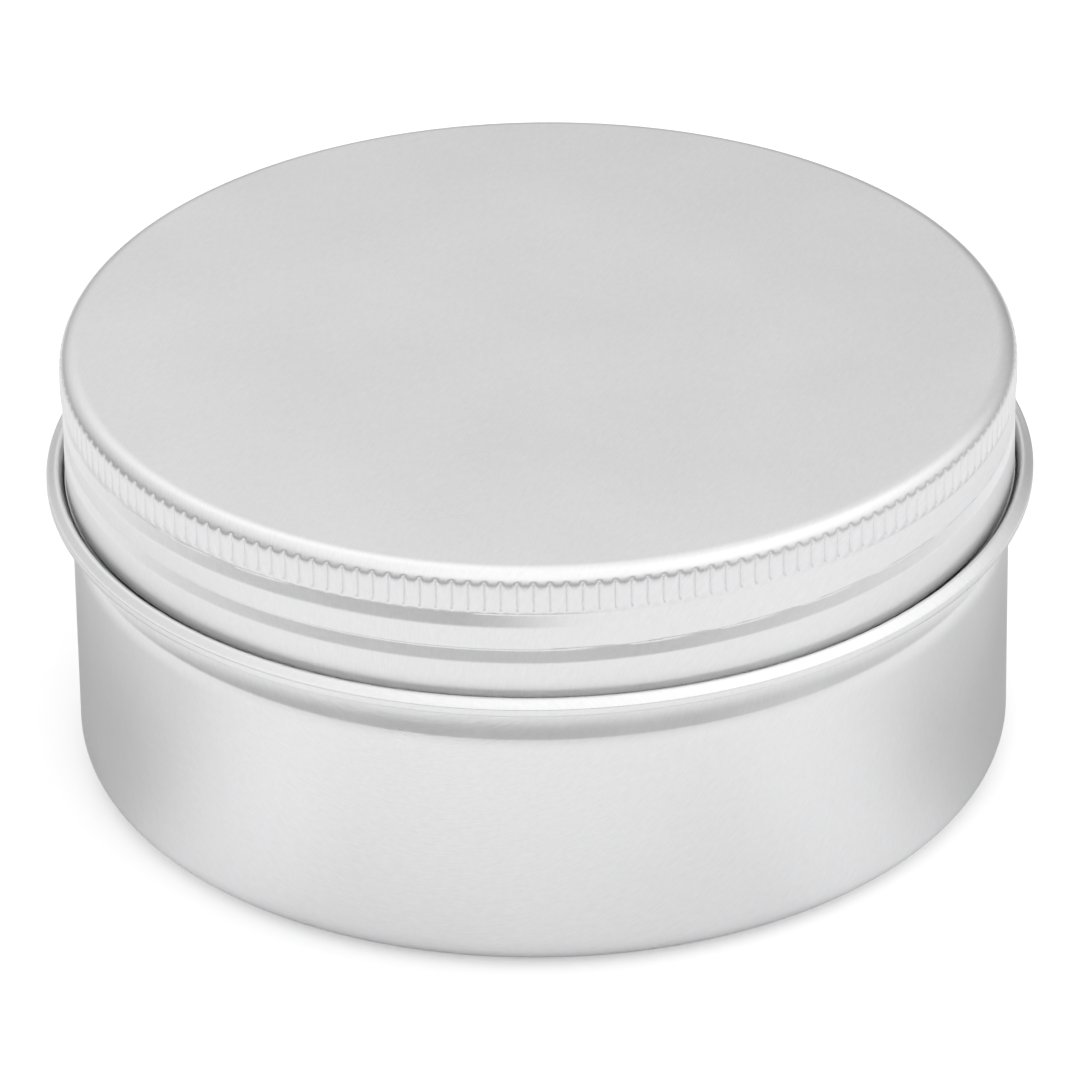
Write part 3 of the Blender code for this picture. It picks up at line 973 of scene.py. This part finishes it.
@dataclass(frozen=True)
class Studio:
    """The pale floor, the soft sky of light round the tin, and the camera."""

    distance: float = 928.15 * MM
    elevation: float = 29.81
    pivot: float = 22 * MM  # the camera's elevation is measured from this height
    roll: float = -0.879
    aim: tuple[float, float, float] = (-0.1 * MM, 0.0, 21.7 * MM)
    lens: float = 303.6
    floor_size: float = 4.0  # metres
    floor_tone: float = 0.93
    floor_glow: float = 0.30
    floor_drop: float = 0.05 * MM  # below the tin's base
    mirror_drop: float = 0.15 * MM
    # painted shadow of the tin: brightness of the floor near the tin by how far behind it lies, 0 in front
    # and 1 straight behind, greyer behind where the tin's shade falls
    near_shadow_stops: tuple[Point, ...] = (
        (0.0, 0.93), (0.055, 0.92), (0.14, 1.0), (0.20, 0.98),
        (0.25, 0.90), (0.354, 0.70), (0.55, 0.58), (1.0, 0.46))
    near_shadow_lean: float = 0.03  # and the painted shadow is darker to the right by this much
    near_edge: Point = (60 * MM, 112 * MM)  # the near floor gives way to the far floor between these
    # painted shade: brightness of the far floor, darker further out, out to its reach
    far_stops: tuple[Point, ...] = ((0.0, 1.0), (0.34, 1.0), (0.5, 0.75), (0.75, 0.5), (1.0, 0.45))
    far_reach: float = 500 * MM
    # brightness of the sky by the sine of the height, in front, at the sides and behind
    front_sky: tuple[Point, ...] = (
        (0.0, 0.56), (0.18, 0.56), (0.34, 0.72), (0.5, 1.1), (0.65, 1.4), (1.0, 1.42))
    side_sky: tuple[Point, ...] = ((0.0, 0.60), (0.25, 0.86), (0.5, 1.12), (0.8, 1.38), (1.0, 1.42))
    rear_sky: tuple[Point, ...] = (
        (0.0, 0.55), (0.35, 0.82), (0.5, 0.92), (0.65, 1.07), (0.85, 1.32), (1.0, 1.42))
    # the side sky gives way between these, by the cosine of the azimuth from straight behind
    front_edge: Point = (-0.55, -0.95)
    rear_edge: Point = (0.45, 0.95)
    side_lean: float = 0.22  # the sky at the sides is brighter to the right by this much
    rear_lean: float = 0.5  # and the sky behind darker to the right

    def place_camera(self) -> None:
        """Set the long-lens camera in front of the tin, looking down at it."""
        tilt = math.radians(self.elevation)
        aim = Vector(self.aim)
        reach = Vector((0.0, -math.cos(tilt), math.sin(tilt))) * self.distance
        place = reach + Vector((0.0, 0.0, self.pivot))
        data = bpy.data.cameras.new("camera")
        data.lens = self.lens
        data.clip_start, data.clip_end = 0.05, 20.0
        camera = bpy.data.objects.new("camera", data)
        bpy.context.scene.collection.objects.link(camera)
        turned = (aim - place).to_track_quat("-Z", "Y").to_matrix().to_4x4()
        rolled = Matrix.Rotation(math.radians(self.roll), 4, "Z")
        camera.matrix_world = Matrix.Translation(place) @ turned @ rolled
        bpy.context.scene.camera = camera

    def lay_floor(self) -> None:
        """Lay the plain pale floor, and a second one that only the tin sees, with painted shade: greyer
        behind it and further out.
        """
        floor = self.board_on_table("studio_floor", -self.floor_drop)
        floor.visible_glossy = floor.visible_diffuse = floor.visible_shadow = False
        board = MaterialBoard("pale_floor")
        board.shade(
            Base_Color=(self.floor_tone,) * 3 + (1.0,), Emission_Color=(1.0,) * 4,
            Emission_Strength=self.floor_glow)
        self.make_dull(floor, board)
        mirror = self.board_on_table("bounce_floor_painted_shade", -self.mirror_drop)
        mirror.visible_camera = False
        board = MaterialBoard("bounce_floor_painted_shade")
        place = board.add("ShaderNodeTexCoord").outputs["Object"]
        unit = board.add("ShaderNodeVectorMath", operation="NORMALIZE", Vector=place)
        east, behind, _ = board.add("ShaderNodeSeparateXYZ", Vector=unit.outputs[0]).outputs
        length = board.add("ShaderNodeVectorMath", operation="LENGTH", Vector=place).outputs["Value"]
        # painted shadow of the tin on the floor it reflects: greyer behind and to the right
        near = board.curve(board.spread(behind, 0.5, 1.0), self.near_shadow_stops)
        near = board.maths("MULTIPLY", near, board.spread(east, 1.0, 1.0 - self.near_shadow_lean))
        # painted shade: the far floor is darker further out
        far = board.curve(board.maths("DIVIDE", length, self.far_reach), self.far_stops)
        tone = board.mix(board.step(length, self.near_edge), near, far)
        blue = board.maths("MULTIPLY", tone, 1.01)
        colour = board.add("ShaderNodeCombineXYZ", X=tone, Y=tone, Z=blue)
        board.shade(Base_Color=colour.outputs[0])
        self.make_dull(mirror, board)

    def board_on_table(self, name: str, height: float) -> bpy.types.Object:
        """A large flat board at this height that belongs to the studio."""
        deselect_all()
        bpy.ops.mesh.primitive_plane_add(size=self.floor_size, location=(0, 0, height))
        board = bpy.context.object
        board.name = name
        return board

    @staticmethod
    def make_dull(floor: bpy.types.Object, board: MaterialBoard) -> None:
        """Give a floor this material with no shine."""
        board.shade(Roughness=0.9, Specular_IOR_Level=0.0)
        floor.data.materials.append(board.material)

    def light(self) -> None:
        """Light the tin from a soft sky: bright overhead, greyer behind, darker low on the camera's side."""
        world = bpy.data.worlds.new("soft_studio")
        bpy.context.scene.world = world
        world.use_nodes = True
        world.node_tree.nodes.clear()
        board = NodeBoard(world.node_tree)
        direction = board.add("ShaderNodeTexCoord").outputs["Generated"]
        east, behind, height = board.add("ShaderNodeSeparateXYZ", Vector=direction).outputs
        level = board.maths("SQRT", board.maths("SUBTRACT", 1.0, board.maths("MULTIPLY", height, height)))
        toward = board.maths("DIVIDE", behind, level)
        rear = self.lean(board, board.curve(height, self.rear_sky), east, -self.rear_lean)
        side = self.lean(board, board.curve(height, self.side_sky), east, self.side_lean)
        whole = board.mix(board.step(toward, self.rear_edge), side, rear)
        whole = board.mix(board.step(toward, self.front_edge), whole, board.curve(height, self.front_sky))
        seen = board.add("ShaderNodeLightPath").outputs["Is Camera Ray"]
        background = board.add("ShaderNodeBackground", Strength=board.mix(seen, whole, 1.0))
        board.add("ShaderNodeOutputWorld", Surface=background.outputs[0])
        bpy.context.scene.view_settings.view_transform = "Standard"

    @staticmethod
    def lean(
            board: NodeBoard, sky: bpy.types.NodeSocket, east: bpy.types.NodeSocket,
            much: float) -> bpy.types.NodeSocket:
        """A sky that is brighter to the right by this much, and darker to the left."""
        return board.maths("MULTIPLY", sky, board.maths("MULTIPLY_ADD", east, much, 1.0))


def main() -> None:
    """Build every piece, dress it, and set the studio round it."""
    logging.basicConfig(level=logging.INFO, format="%(name)s: %(message)s")
    sizes = TinSizes()
    for assembly in (TinBody(sizes), ScrewLid(sizes), LidLiner(sizes), WaxFill(sizes), Wick()):
        assembly.dress(assembly.build())
    holder = WickHolder()
    holder.dress(holder.build_tab(), holder.build_pad())
    studio = Studio()
    studio.place_camera()
    studio.lay_floor()
    studio.light()


if __name__ == "__main__":
    main()
